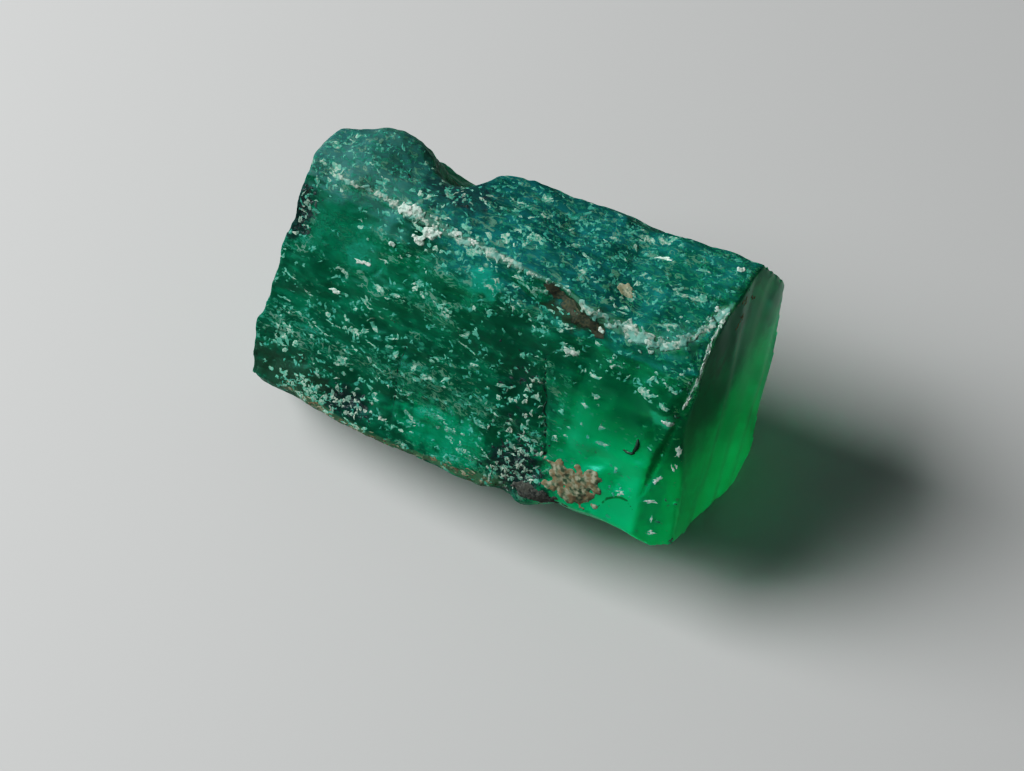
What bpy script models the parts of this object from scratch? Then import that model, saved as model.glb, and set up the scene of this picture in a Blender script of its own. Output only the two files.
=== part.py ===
"""A raw emerald crystal: one distorted six-sided beryl prism lying on one of its prism faces.

The crystal's long axis is X. The end at -X is a hackly break with a rounded lump above it, and
the end at +X is a fairly flat, clean break. The origin is under the middle of the crystal, at
the height of the face that it lies on.
"""

import math

import bmesh
import bpy
from mathutils import Vector, noise

MM = 0.001

# The broken ends: where each meets the resting face, and how far it leans per millimetre up.
BREAK_LEFT = -11.0
BREAK_RIGHT = 10.55
LEAN_LEFT = 0.085
LEAN_RIGHT = 0.06
END_REACH = 7.0

# Above this height the right break leans further, but less so at its back, where y is over the
# first of UPPER_LEAN_FADE. It also has one shallow dish, at a (y, z) near its front.
UPPER_LEAN = 0.07
UPPER_LEAN_FROM = 6.0
UPPER_LEAN_FADE = (2.0, 6.5)
DISH_CENTRE = (-3.1, 10.2)
DISH_RADIUS = 2.8
DISH_DEPTH = 0.3

# The six long edges, each as (x, y, z) points in millimetres from the left end to the right.
# They run anticlockwise as seen from +X, and a prism face lies between each edge and the next.
LONG_EDGES = {
    "front_ridge": ((-11.0, -0.45, 13.8), (-5.5, -0.45, 13.9), (-2.0, -0.95, 13.9), (10.6, -1.5, 13.9)),
    "top_back": ((-11.0, 1.8, 13.6), (-6.4, 2.35, 13.8), (-1.0, 3.1, 13.9), (10.6, 3.75, 13.9)),
    "back": ((-11.0, 4.9, 9.3), (10.6, 6.0, 9.6)),
    "bottom_back": ((-11.0, 2.6, 0.0), (10.6, 3.0, 0.0)),
    "bottom_front": ((-11.0, -3.4, 0.0), (10.6, -2.5, 0.0)),
    "front": ((-11.0, -6.1, 4.4), (-5.0, -6.6, 4.6), (3.6, -6.6, 4.9), (4.9, -6.2, 5.7), (10.6, -6.3, 6.1)),
}
FACE_DIVISIONS = (9, 8, 17, 10, 10, 17)
LENGTH_DIVISIONS = 45
CAP_RINGS = 10
CUTTER_SIZE = 60.0

# Rounded swellings and hollows: centre, radius, and how far the surface moves out.
SWELLINGS = {
    "lump": ((-8.0, 2.0, 13.8), 2.6, 0.45),
    "notch": ((-4.1, 3.2, 13.8), 2.1, -2.4),
    "notch_foot": ((-4.6, 4.6, 11.2), 3.0, -0.95),
    "ridge_hollow": ((2.2, -1.5, 12.6), 1.3, -0.3),
    "left_hollow": ((-10.3, -2.2, 11.0), 1.6, -0.35),
}

# Flat cuts: a point on each, and the direction that it faces.
REST_CUT = 0.25
CHIPS = {
    "resting_face": ((0.0, 0.0, REST_CUT), (0.0, 0.0, -1.0)),
    "ridge_corner": ((7.4, -1.42, 14.12), (0.46, -0.40, 0.79)),
    "front_end_bevel": ((8.75, -4.38, 8.95), (0.44, -0.77, 0.46)),
    "lower_front_corner": ((10.4, -0.8, 1.7), (0.40, -0.58, -0.71)),
    "left_shoulder": ((-9.5, 0.5, 13.9), (-0.72, 0.1, 0.69)),
    "left_back_corner": ((-10.0, 3.8, 11.0), (-0.62, 0.66, 0.42)),
}

# Relief of the prism faces, in millimetres. Each noise is given as its waves per millimetre along
# and across the crystal, and an offset that makes it differ from the others.
LEDGES = (0.1, 0.8, (0.0, 0.0, 0.0))
FINE_LEDGES = (0.25, 1.7, (7.0, 0.0, 0.0))
FINE_LEDGE_SHARE = 0.5
LEDGE_RELIEF = 0.16
LUMPS = (0.45, 0.55, (0.0, 4.0, 0.0))
LUMP_RELIEF = 0.2
PITS = (0.6, 0.9, (0.0, 0.0, 9.0))
PIT_RANGE = (0.2, 0.65)
PIT_DEPTH = 0.28

# One shallow crack round the crystal, and the crumbled edges, strongest at the front ridge.
CRACK_X = 5.0
CRACK_WIDTH = 0.45
CRACK_WANDER = 0.25
CRACK_LAYER = 3.0
CRACK_DEPTH = 0.16
EDGE_WEAR = 0.3
EDGE_WEAR_REACH = 0.9
EDGE_WEAR_WAVES = 0.9
EDGE_WEAR_RANGE = (0.5, 0.9)
OTHER_EDGE_SHARE = 0.6
EDGE_LAYER_STEP = 3.0

# Relief of the breaks: hackle at the left, and long shell-like waves at the right.
HACKLE_WAVES = ((0.35, 1.0, 3.0), (0.8, 0.4, 5.0))
HACKLE_RELIEF = 0.5
SHELL_RELIEF = 0.16

EMERALD_GREEN = (0.004, 0.13, 0.055, 1.0)


def clear_scene():
    for item in list(bpy.data.objects):
        bpy.data.objects.remove(item, do_unlink=True)


def smooth_step(low, high, value):
    share = min(1.0, max(0.0, (value - low) / (high - low)))
    return share * share * (3.0 - 2.0 * share)


def wave(x, y, z):
    """Smooth noise from about -1 to 1, the same on every run."""
    return noise.noise(Vector((x, y, z)))


def edge_point(points, x):
    """Where a long edge crosses the plane at x."""
    for start, end in zip(points, points[1:]):
        if x <= end[0]:
            break
    share = (x - start[0]) / (end[0] - start[0])
    return Vector(start).lerp(Vector(end), share)


def outline_corners(x):
    """The six corners of the cross-section at x."""
    return [edge_point(points, x) for points in LONG_EDGES.values()]


def face_columns():
    """Each column of points along the crystal, as (face, share of the way across it)."""
    columns = []
    for face, divisions in enumerate(FACE_DIVISIONS):
        columns += [(face, index / divisions) for index in range(divisions)]
    return columns


def wrapped_point(column, row):
    """Where a point of the flat grid lies on the bare prism: left cap, sides, then right cap."""
    face, step = column
    last = 2 * CAP_RINGS + LENGTH_DIVISIONS
    reach = min(1.0, row / CAP_RINGS, (last - row) / CAP_RINGS)
    share = min(1.0, max(0.0, (row - CAP_RINGS) / LENGTH_DIVISIONS))
    x = BREAK_LEFT + (BREAK_RIGHT - BREAK_LEFT) * share
    corners = outline_corners(x)
    middle = sum(corners, Vector()) / len(corners)
    return middle.lerp(corners[face].lerp(corners[(face + 1) % len(corners)], step), reach)


def wrap_prism():
    """A grid primitive wrapped round the crystal, welded at its seam and at both cap centres."""
    columns = face_columns()
    rows = 2 * CAP_RINGS + LENGTH_DIVISIONS
    bm = bmesh.new()
    bmesh.ops.create_grid(bm, x_segments=len(columns), y_segments=rows, size=1.0)
    for vertex in bm.verts:
        column = round((vertex.co.x + 1.0) / 2.0 * len(columns)) % len(columns)
        row = round((vertex.co.y + 1.0) / 2.0 * rows)
        vertex.co = wrapped_point(columns[column], row)
    bmesh.ops.remove_doubles(bm, verts=bm.verts, dist=0.0001)
    bmesh.ops.recalc_face_normals(bm, faces=bm.faces)
    return bm


def end_shares(x):
    """How much a point at x belongs to the left break and to the right break."""
    left = smooth_step(BREAK_LEFT + 0.6, BREAK_LEFT, x)
    right = smooth_step(BREAK_RIGHT - 0.5, BREAK_RIGHT, x)
    return left, right


def stretched_wave(point, stretch):
    """Noise that varies at one rate along the crystal and at another across it."""
    along, across, offset = stretch
    return wave(point.x * along + offset[0], point.y * across + offset[1], point.z * across + offset[2])


def prism_relief(point):
    """Height over the flat prism faces: long ledges, lumps, pits and one crack."""
    ledges = stretched_wave(point, LEDGES) + FINE_LEDGE_SHARE * stretched_wave(point, FINE_LEDGES)
    lumps = stretched_wave(point, LUMPS)
    pits = smooth_step(*PIT_RANGE, stretched_wave(point, PITS))
    crack_x = CRACK_X - CRACK_WANDER * wave(point.y, point.z, CRACK_LAYER)
    crack = smooth_step(CRACK_WIDTH, 0.0, abs(point.x - crack_x))
    return LEDGE_RELIEF * ledges + LUMP_RELIEF * lumps - PIT_DEPTH * pits - CRACK_DEPTH * crack


def edge_wear(point):
    """Depth of the crumbling along the long edges, strongest at the front ridge."""
    wear = 0.0
    least, swing = EDGE_WEAR_RANGE
    for index, corner in enumerate(outline_corners(point.x)):
        gap = math.hypot(point.y - corner.y, point.z - corner.z)
        strength = 1.0 if index == 0 else OTHER_EDGE_SHARE
        crumble = least + swing * wave(point.x * EDGE_WEAR_WAVES, index * EDGE_LAYER_STEP, 1.0)
        wear = max(wear, strength * max(0.0, crumble) * smooth_step(EDGE_WEAR_REACH, 0.0, gap))
    return EDGE_WEAR * wear


def swelling(point):
    """How far the lumps and hollows move a point out."""
    height = 0.0
    for centre, radius, rise in SWELLINGS.values():
        gap = (point - Vector(centre)).length / radius
        height += rise * smooth_step(1.0, 0.15, gap)
    return height


def carve_faces(bm):
    """Moves the points of the prism faces in and out along their normals."""
    bm.normal_update()
    moves = {}
    for vertex in bm.verts:
        side = 1.0 - max(end_shares(vertex.co.x))
        height = side * prism_relief(vertex.co) - edge_wear(vertex.co) + swelling(vertex.co)
        moves[vertex] = vertex.normal * height
    for vertex, move in moves.items():
        vertex.co += move


def shape_breaks(bm):
    """Leans both ends, hackles the left one and gives the right one shallow shell-like waves.

    Points up to END_REACH away slide along too, each by less, so that the rows never cross.
    """
    for vertex in bm.verts:
        x, y, z = vertex.co
        left = max(0.0, 1.0 - (x - BREAK_LEFT) / END_REACH)
        right = max(0.0, 1.0 - (BREAK_RIGHT - x) / END_REACH)
        hackle = sum(share * wave(y * rate, z * rate, layer) for rate, share, layer in HACKLE_WAVES)
        shell = wave(y * 0.8 - z * 0.45, z * 0.12, 8.0) - 0.7 * wave(y * 0.25, z * 0.25, 2.0)
        upper = UPPER_LEAN * max(0.0, z - UPPER_LEAN_FROM)
        lean = LEAN_RIGHT * z + upper * (1.0 - smooth_step(*UPPER_LEAN_FADE, y))
        dish = smooth_step(DISH_RADIUS, 0.0, math.hypot(y - DISH_CENTRE[0], z - DISH_CENTRE[1]))
        vertex.co.x += left * (LEAN_LEFT * z + HACKLE_RELIEF * hackle)
        vertex.co.x += right * (SHELL_RELIEF * shell - DISH_DEPTH * dish - lean)


def settle(bm):
    """Centres the crystal over the origin with its lower REST_CUT still to cut off. Gives the move."""
    xs = [vertex.co.x for vertex in bm.verts]
    ys = [vertex.co.y for vertex in bm.verts]
    shift = Vector((-(min(xs) + max(xs)) / 2.0, -(min(ys) + max(ys)) / 2.0, -REST_CUT))
    bmesh.ops.translate(bm, verts=bm.verts, vec=shift)
    bmesh.ops.scale(bm, verts=bm.verts, vec=(MM, MM, MM))
    return shift


def emerald_material():
    material = bpy.data.materials.new("emerald")
    material.use_nodes = True
    shader = material.node_tree.nodes["Principled BSDF"]
    shader.inputs["Base Color"].default_value = EMERALD_GREEN
    shader.inputs["Roughness"].default_value = 0.35
    shader.inputs["IOR"].default_value = 1.575
    shader.inputs["Metallic"].default_value = 0.0
    return material


def linked_collection(name):
    collection = bpy.data.collections.new(name)
    bpy.context.scene.collection.children.link(collection)
    return collection


def chip_cutter(name, place, facing):
    """A block whose lower face lies on the chip."""
    normal = Vector(facing).normalized()
    middle = place + normal * CUTTER_SIZE / 2.0
    bm = bmesh.new()
    bmesh.ops.create_cube(bm, size=CUTTER_SIZE)
    bmesh.ops.rotate(bm, verts=bm.verts, matrix=normal.to_track_quat("Z", "Y").to_matrix())
    bmesh.ops.translate(bm, verts=bm.verts, vec=middle)
    bmesh.ops.scale(bm, verts=bm.verts, vec=(MM, MM, MM))
    mesh = bpy.data.meshes.new(name)
    bm.to_mesh(mesh)
    bm.free()
    cutter = bpy.data.objects.new(name, mesh)
    cutter.hide_render = True
    cutter.display_type = "WIRE"
    return cutter


def break_chips(crystal, shift):
    cutters = linked_collection("chip_cutters")
    for name, (place, facing) in CHIPS.items():
        cutter = chip_cutter(name, Vector(place) + shift, facing)
        cutters.objects.link(cutter)
        chip = crystal.modifiers.new(name, "BOOLEAN")
        chip.operation = "DIFFERENCE"
        chip.solver = "EXACT"
        chip.object = cutter


def build():
    clear_scene()
    bm = wrap_prism()
    carve_faces(bm)
    shape_breaks(bm)
    shift = settle(bm)
    mesh = bpy.data.meshes.new("emerald_crystal")
    bm.to_mesh(mesh)
    bm.free()
    mesh.materials.append(emerald_material())
    crystal = bpy.data.objects.new("emerald_crystal", mesh)
    linked_collection("raw_emerald_crystal").objects.link(crystal)
    break_chips(crystal, shift)


build()
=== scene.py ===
import math

import bpy
import numpy as np
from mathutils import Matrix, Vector
from mathutils.bvhtree import BVHTree


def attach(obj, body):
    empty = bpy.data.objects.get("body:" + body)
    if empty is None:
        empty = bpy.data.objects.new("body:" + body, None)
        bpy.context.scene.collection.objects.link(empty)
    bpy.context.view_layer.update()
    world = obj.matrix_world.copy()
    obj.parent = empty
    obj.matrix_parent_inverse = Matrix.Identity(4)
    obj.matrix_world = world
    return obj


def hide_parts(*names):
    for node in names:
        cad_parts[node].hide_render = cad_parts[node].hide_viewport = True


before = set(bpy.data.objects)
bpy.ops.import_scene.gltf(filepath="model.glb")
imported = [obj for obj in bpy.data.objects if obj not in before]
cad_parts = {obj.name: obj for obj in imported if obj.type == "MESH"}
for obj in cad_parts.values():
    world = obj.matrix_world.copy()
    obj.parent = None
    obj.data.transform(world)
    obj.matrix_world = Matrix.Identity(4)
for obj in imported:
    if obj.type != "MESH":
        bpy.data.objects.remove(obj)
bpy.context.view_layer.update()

# -----------------------------------------------------------------------------
# The crystal: one grown prism of emerald, snapped off at both ends, lying on a prism face.
# Its solid gives the form. A fine skin over that solid carries growth lines, ledges, small pits
# and the hackle of the breaks, and the stone inside is see-through with a green that deepens.
# -----------------------------------------------------------------------------

MM = 0.001
SKIN_VOXEL = 0.122 * MM
EVEN_ROUNDS = 4
REST_PLANE = 0.0

CLEAR_FROM, CLEAR_TO = 4.2, 6.2  # along the axis, where the flawed stone turns clear
WINDOW_TOP = 10.2, 11.8  # up the front, where the clear stone ends
SMOOTH_END = 9.6  # beyond it the right break is nearly glassy
HACKLE_END = -9.4  # before it the left break is rough
BREAK_FADE = 0.8  # how far the breaks' relief takes to set in
OFF_FLOOR = 0.05, 0.5  # the heights over which any relief sets in
TURNED = 0.55, 0.85  # how far a normal turns at the ends and the top


def smooth_step(low, high, value):
    share = np.clip((value - low) / (high - low), 0.0, 1.0)
    return share * share * (3.0 - 2.0 * share)


def only(piece):
    bpy.ops.object.select_all(action="DESELECT")
    piece.select_set(True)
    bpy.context.view_layer.objects.active = piece


def weld(piece, distance=0.005 * MM):
    only(piece)
    bpy.ops.object.mode_set(mode="EDIT")
    bpy.ops.mesh.select_all(action="SELECT")
    bpy.ops.mesh.remove_doubles(threshold=distance)
    bpy.ops.mesh.normals_make_consistent(inside=False)
    bpy.ops.object.mode_set(mode="OBJECT")


def values_of(items, name, width=3):
    """One attribute of all the corners or faces of a mesh, one row to each."""
    values = np.empty(len(items) * width, np.float32)
    items.foreach_get(name, values)
    return values.reshape(-1, width)


WEIGHT_LEVELS = 10


def weigh(piece, name, weights):
    """Keeps the weights as a vertex group, rounded to a few levels."""
    group = piece.vertex_groups.new(name=name)
    for level in range(WEIGHT_LEVELS + 1):
        chosen = np.flatnonzero(np.round(weights * WEIGHT_LEVELS) == level)
        group.add(chosen.tolist(), level / WEIGHT_LEVELS, "REPLACE")


def voxel_skin(piece, grid):
    """Covers a solid, or a heap of them, with one even skin."""
    skin = piece.modifiers.new("skin", "REMESH")
    skin.mode = "VOXEL"
    skin.voxel_size = grid
    only(piece)
    bpy.ops.object.modifier_apply(modifier="skin")


def even_out(piece, rounds, area=""):
    even = piece.modifiers.new("even", "SMOOTH")
    even.factor, even.iterations, even.vertex_group = 0.5, rounds, area
    only(piece)
    bpy.ops.object.modifier_apply(modifier="even")


def relief(piece, name, size, depth, stretch=(1, 1, 1), area="", **settings):
    """Pushes the skin in and out by a pattern, stretched along the axes and weighed by area."""
    pattern = bpy.data.textures.new(name, "CLOUDS")
    pattern.noise_scale = size
    for setting, value in settings.items():
        setattr(pattern, setting, value)
    stretcher = bpy.data.objects.new(name + "_stretch", None)
    bpy.context.scene.collection.objects.link(stretcher)
    stretcher.scale = stretch
    bpy.context.view_layer.update()
    push = piece.modifiers.new(name, "DISPLACE")
    push.texture = pattern
    push.texture_coords = "OBJECT"
    push.texture_coords_object = stretcher
    push.strength = depth
    push.vertex_group = area
    only(piece)
    bpy.ops.object.modifier_apply(modifier=name)
    bpy.data.objects.remove(stretcher)


crystal = bpy.data.objects.new("emerald_prism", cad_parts["emerald_crystal"].data.copy())
bpy.context.scene.collection.objects.link(crystal)
weld(crystal)
voxel_skin(crystal, SKIN_VOXEL)
even_out(crystal, EVEN_ROUNDS)

places = values_of(crystal.data.vertices, "co")
normals = values_of(crystal.data.vertex_normals, "vector")
x_mm, z_mm = places[:, 0] / MM, places[:, 2] / MM
side = 1.0 - smooth_step(*TURNED, np.abs(normals[:, 0]))
upper = smooth_step(*TURNED, normals[:, 2])
in_window = 1.0 - 0.85 * smooth_step(*WINDOW_TOP, z_mm)
clear = smooth_step(CLEAR_FROM, CLEAR_TO, x_mm) * in_window * (1.0 - upper)
off_floor = smooth_step(*OFF_FLOOR, z_mm)
leftmost = smooth_step(-HACKLE_END, -HACKLE_END + BREAK_FADE, -x_mm)
rightmost = smooth_step(SMOOTH_END, SMOOTH_END + BREAK_FADE, x_mm)
weigh(crystal, "sides", side * (1.0 - 0.6 * clear) * off_floor)
weigh(crystal, "flawed", side * (1.0 - 0.95 * clear) * off_floor)
weigh(crystal, "left_break", (1.0 - side) * leftmost * off_floor)
weigh(crystal, "right_break", (1.0 - side) * rightmost * off_floor)

# Two dips of the solid's facets in the top face, filled by many rounds of smoothing.
DIPS = ((-6.4, 1.7, 13.7), (4.7, 0.2, 13.5))
DIP_REACH = 0.5, 1.3
DIP_ROUNDS = 150
gap = np.min([np.linalg.norm(places / MM - dip, axis=1) for dip in DIPS], axis=0)
weigh(crystal, "dips", 1.0 - smooth_step(*DIP_REACH, gap))
even_out(crystal, DIP_ROUNDS, "dips")

# (name, pattern's size, depth, stretch, area, settings), the lengths in millimetres
RELIEFS = (
    ("growth_lines", 0.5, 0.06, (7, 1, 1), "sides", {"noise_depth": 2}),
    ("ledges", 1.1, 0.16, (3, 1, 1), "flawed", {"noise_depth": 1, "noise_type": "HARD_NOISE"}),
    ("grain", 0.3, 0.10, (1.6, 1, 1), "flawed", {"noise_depth": 1}),
    ("hackle", 0.8, 0.30, (1, 1, 2), "left_break", {"noise_depth": 3}),
    ("streaks", 0.9, 0.02, (1, 1.5, 6), "right_break", {"noise_depth": 0}),
)
for name, size, depth, stretch, area, settings in RELIEFS:
    relief(crystal, name, size * MM, depth * MM, stretch, area, **settings)

# Lines on the skin, as (x, y, z, half-width) in millimetres: worn edges, then cracks.
RIDGE = (
    (-8.3, 0.0, 13.35, 0.08), (-7.8, -0.05, 13.3, 0.10), (-5.9, 0.0, 13.2, 0.10),
    (-5.1, -0.1, 13.15, 0.20), (-4.1, -0.2, 13.2, 0.24), (-2.1, -0.4, 13.3, 0.20),
    (-0.1, -0.5, 13.4, 0.17), (1.8, -0.7, 13.5, 0.09), (3.7, -0.9, 13.3, 0.12),
    (5.2, -1.0, 13.1, 0.27), (6.4, -1.05, 13.0, 0.33), (7.3, -1.1, 13.0, 0.33),
    (7.8, -1.0, 13.1, 0.24),
)
CORNER_RIM = (
    (7.8, -1.0, 13.1, 0.24), (8.2, -0.9, 13.5, 0.20), (8.5, -0.5, 13.5, 0.16),
    (8.9, 0.3, 13.5, 0.18), (9.0, 0.9, 13.5, 0.20), (9.3, 1.55, 13.55, 0.20),
)
END_RIM = (
    (9.33, 1.5, 13.55, 0.09), (9.33, 0.8, 13.55, 0.09), (9.3, -0.2, 13.3, 0.10),
    (9.37, -0.95, 12.9, 0.10), (9.41, -1.6, 12.3, 0.12), (9.32, -2.05, 11.65, 0.10),
    (9.25, -2.3, 11.3, 0.06),
)
LOWER_RIM = (
    (-8.34, -5.75, 4.37, 0.18), (-6.24, -6.05, 4.41, 0.22), (-3.99, -6.23, 4.39, 0.19),
    (-1.63, -6.12, 4.55, 0.10), (-0.16, -6.06, 4.7, 0.13), (1.32, -6.07, 4.76, 0.22),
    (2.8, -6.0, 4.9, 0.28),
)
CROSS_CRACK = (
    (3.0, -2.45, 10.9, 0.03), (3.3, -3.0, 9.7, 0.08), (3.5, -3.4, 9.0, 0.11),
    (3.9, -4.1, 7.9, 0.08), (4.3, -4.8, 6.8, 0.03),
)
FAINT_CRACK = (
    (-3.1, -3.1, 9.2, 0.02), (-3.2, -3.9, 7.8, 0.06), (-3.0, -5.0, 6.2, 0.06),
    (-2.9, -6.1, 4.6, 0.02),
)
END_FRACTURE = (
    (9.2, -2.5, 11.0, 0.05), (9.1, -2.9, 10.4, 0.12), (9.0, -3.4, 9.7, 0.20),
    (8.9, -3.8, 9.2, 0.24), (8.85, -4.15, 8.6, 0.19), (8.8, -4.6, 7.9, 0.10),
    (8.75, -4.9, 7.3, 0.03),
)
LOWER_ARC = (
    (7.1, -5.35, 5.95, 0.02), (7.4, -5.1, 6.6, 0.06), (7.85, -5.0, 6.95, 0.07),
    (8.25, -5.05, 7.0, 0.05), (8.65, -5.2, 6.75, 0.02),
)
LINE_STEP = 0.25


def nearest_on(surface, points):
    """The nearest places on a surface, with their normals."""
    found = [surface.find_nearest(Vector(point)) for point in points]
    return np.array([hit[0][:] for hit in found]), np.array([hit[1][:] for hit in found])


def laid_on(surface, line):
    """The line in short steps that lie on the surface, in metres."""
    points = np.array(line)
    runs = np.linalg.norm(np.diff(points[:, :3], axis=0), axis=1)
    reach = np.concatenate([[0.0], np.cumsum(runs)])
    at = np.linspace(0.0, reach[-1], 2 + int(reach[-1] / LINE_STEP))
    route = np.stack([np.interp(at, reach, points[:, axis]) for axis in range(4)], axis=1) * MM
    route[:, :3] = nearest_on(surface, route[:, :3])[0]
    return route


def surface_of(piece):
    corners = [vertex.co for vertex in piece.data.vertices]
    return BVHTree.FromPolygons(corners, [polygon.vertices for polygon in piece.data.polygons])


def far_from_line(places, line):
    """How far each place is from a laid line, in half-widths of the line there."""
    nearest = np.full(len(places), np.inf)
    for start, end in zip(line[:-1], line[1:]):
        run = end[:3] - start[:3]
        share = np.clip(((places - start[:3]) @ run) / (run @ run), 0.0, 1.0)
        gap = np.linalg.norm(places - start[:3] - share[:, None] * run, axis=1)
        nearest = np.minimum(nearest, gap / (start[3] + share * (end[3] - start[3])))
    return nearest


def mark(piece, name, values):
    """Keeps a value at each corner of the mesh for a material to read by name."""
    layer = piece.data.attributes.new(name, "FLOAT", "POINT")
    layer.data.foreach_set("value", np.minimum(values, 99.0).astype(np.float32))


places = values_of(crystal.data.vertices, "co")
normals = values_of(crystal.data.vertex_normals, "vector")
bare_stone = surface_of(crystal)
ridge, corner_rim, end_rim, lower_rim = (
    laid_on(bare_stone, line) for line in (RIDGE, CORNER_RIM, END_RIM, LOWER_RIM)
)
cross_crack, faint_crack, end_fracture, lower_arc = (
    laid_on(bare_stone, line) for line in (CROSS_CRACK, FAINT_CRACK, END_FRACTURE, LOWER_ARC)
)

# (line, reach in half-widths, depth in millimetres)
GROOVES = ((cross_crack, 2.0, 0.12), (faint_crack, 4.0, 0.07), (end_fracture, 1.6, 0.10))
for line, reach, deep in GROOVES:
    close = 1.0 - smooth_step(0.0, reach, far_from_line(places, line))
    places -= normals * (close * deep * MM)[:, None]
places[:, 2] = np.maximum(places[:, 2], REST_PLANE)
crystal.data.vertices.foreach_set("co", places.ravel())
crystal.data.update()
crystal.vertex_groups.clear()
crystal.data.shade_smooth()
stone = surface_of(crystal)
MARKS = (
    ("bruise", (ridge, corner_rim)), ("edge_line", (end_rim,)), ("rind", (lower_rim,)),
    ("crack", (cross_crack, faint_crack)), ("fracture", (end_fracture, lower_arc)),
)
for name, lines in MARKS:
    mark(crystal, name, np.min([far_from_line(places, line) for line in lines], axis=0))


def add(tree, kind, settings=None, **inputs):
    """Adds a shader node. A socket goes by its name or as i and its number, and its value is a
    number, a colour or another node's socket."""
    node = tree.nodes.new(kind)
    for setting, value in (settings or {}).items():
        setattr(node, setting, value)
    for name, value in inputs.items():
        name = name.replace("_", " ")
        numbered = name[0] == "i" and name[1:].isdigit()
        socket = node.inputs[int(name[1:]) if numbered else name]
        if isinstance(value, bpy.types.NodeSocket):
            tree.links.new(value, socket)
        else:
            socket.default_value = value
    return node


def group_of(name, ins, outs):
    """An empty node group, with its input and output sockets given by name and kind."""
    tree = bpy.data.node_groups.new(name, "ShaderNodeTree")
    for way, sockets in (("INPUT", ins), ("OUTPUT", outs)):
        for socket, kind in sockets.items():
            tree.interface.new_socket(socket, in_out=way, socket_type="NodeSocket" + kind)
    return tree, tree.nodes.new("NodeGroupInput"), tree.nodes.new("NodeGroupOutput")


def math_of(tree, operation, first, second=0.0, third=0.0):
    settings = {"operation": operation}
    return add(tree, "ShaderNodeMath", settings, i0=first, i1=second, i2=third).outputs[0]


def times(tree, first, second):
    return math_of(tree, "MULTIPLY", first, second)


def vector_of(tree, operation, first, second, third=(0.0, 0.0, 0.0)):
    settings = {"operation": operation}
    return add(tree, "ShaderNodeVectorMath", settings, i0=first, i1=second, i2=third).outputs[0]


def noise_of(tree, place, scale, detail, **more):
    """A noise pattern's node: its first output is a value, its second a colour."""
    return add(tree, "ShaderNodeTexNoise", Vector=place, Scale=scale, Detail=detail, **more)


def ramp(tree, value, low, high, bottom=0.0, top=1.0):
    """A soft step from bottom to top as the value goes from low to high."""
    return add(
        tree, "ShaderNodeMapRange", {"interpolation_type": "SMOOTHSTEP"},
        Value=value, From_Min=low, From_Max=high, To_Min=bottom, To_Max=top,
    ).outputs[0]


def mix(tree, share, first, second):
    node = add(tree, "ShaderNodeMix", {"data_type": "RGBA"}, i0=share)
    for place, value in ((6, first), (7, second)):
        if isinstance(value, bpy.types.NodeSocket):
            tree.links.new(value, node.inputs[place])
        else:
            node.inputs[place].default_value = (*value, 1.0)
    return node.outputs[2]


def in_mm(tree):
    """Object coordinates in millimetres."""
    coords = tree.nodes.new("ShaderNodeTexCoord").outputs["Object"]
    return add(tree, "ShaderNodeMapping", Vector=coords, Scale=(1 / MM, 1 / MM, 1 / MM)).outputs[0]


def new_material(name):
    material = bpy.data.materials.new(name)
    material.use_nodes = True
    tree = material.node_tree
    return material, tree, tree.nodes["Principled BSDF"], tree.nodes["Material Output"]


# A soft ragged spot: 1 at its centre, 0 outside its half-axes, given in millimetres.
spot_tree, spot_in, spot_out = group_of(
    "painted_spot",
    {"Place": "Vector", "Noise": "Float", "Centre": "Vector", "Size": "Vector", "Ragged": "Float"},
    {"Mask": "Float"},
)
SPOT_RAG = 4.0
spot_shift = vector_of(spot_tree, "SUBTRACT", spot_in.outputs["Place"], spot_in.outputs["Centre"])
spot_scaled = vector_of(spot_tree, "DIVIDE", spot_shift, spot_in.outputs["Size"])
spot_far = add(spot_tree, "ShaderNodeVectorMath", {"operation": "LENGTH"}, i0=spot_scaled)
spot_ragged = math_of(spot_tree, "SUBTRACT", spot_in.outputs["Noise"], 0.5)
spot_ragged = times(spot_tree, spot_ragged, spot_in.outputs["Ragged"])
spot_ragged = times(spot_tree, spot_ragged, SPOT_RAG)
spot_edge = math_of(spot_tree, "ADD", spot_far.outputs["Value"], spot_ragged)
spot_tree.links.new(ramp(spot_tree, spot_edge, 0.45, 1.0, 1.0, 0.0), spot_out.inputs["Mask"])

# Stretched mottle: streaks along the prism, in three sizes.
streak_tree, streak_in, streak_out = group_of(
    "growth_streaks", {"Place": "Vector"}, {"Broad": "Float", "Fine": "Float", "Speckle": "Float"}
)
STREAK_STRETCH = (0.3, 1.0, 1.0)
streak_place = vector_of(streak_tree, "MULTIPLY", streak_in.outputs["Place"], STREAK_STRETCH)
for output, scale, detail in (("Broad", 0.55, 3.0), ("Fine", 2.2, 5.0), ("Speckle", 5.5, 3.0)):
    pattern = noise_of(streak_tree, streak_place, scale, detail, Roughness=0.62)
    streak_tree.links.new(pattern.outputs[0], streak_out.inputs[output])

# Flecks: separate ragged blobs, some cells left empty, thinned out where the share is low.
fleck_tree, fleck_in, fleck_out = group_of(
    "flecks",
    {"Place": "Vector", "Scale": "Float", "Share": "Float", "Size": "Float"}, {"Mask": "Float"},
)
FLECK_STRETCH = (0.55, 1.0, 1.0)
FLECK_WARP = (0.22, 0.22, 0.22)
fleck_place = vector_of(fleck_tree, "MULTIPLY", fleck_in.outputs["Place"], FLECK_STRETCH)
fleck_wander = noise_of(fleck_tree, fleck_place, scale=6.0, detail=3.0).outputs["Color"]
fleck_warped = vector_of(fleck_tree, "MULTIPLY_ADD", fleck_wander, FLECK_WARP, fleck_place)
fleck_cells = add(
    fleck_tree, "ShaderNodeTexVoronoi", {"feature": "F1"},
    Vector=fleck_warped, Scale=fleck_in.outputs["Scale"],
)
fleck_dice = add(fleck_tree, "ShaderNodeSeparateColor", Color=fleck_cells.outputs["Color"])
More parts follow.
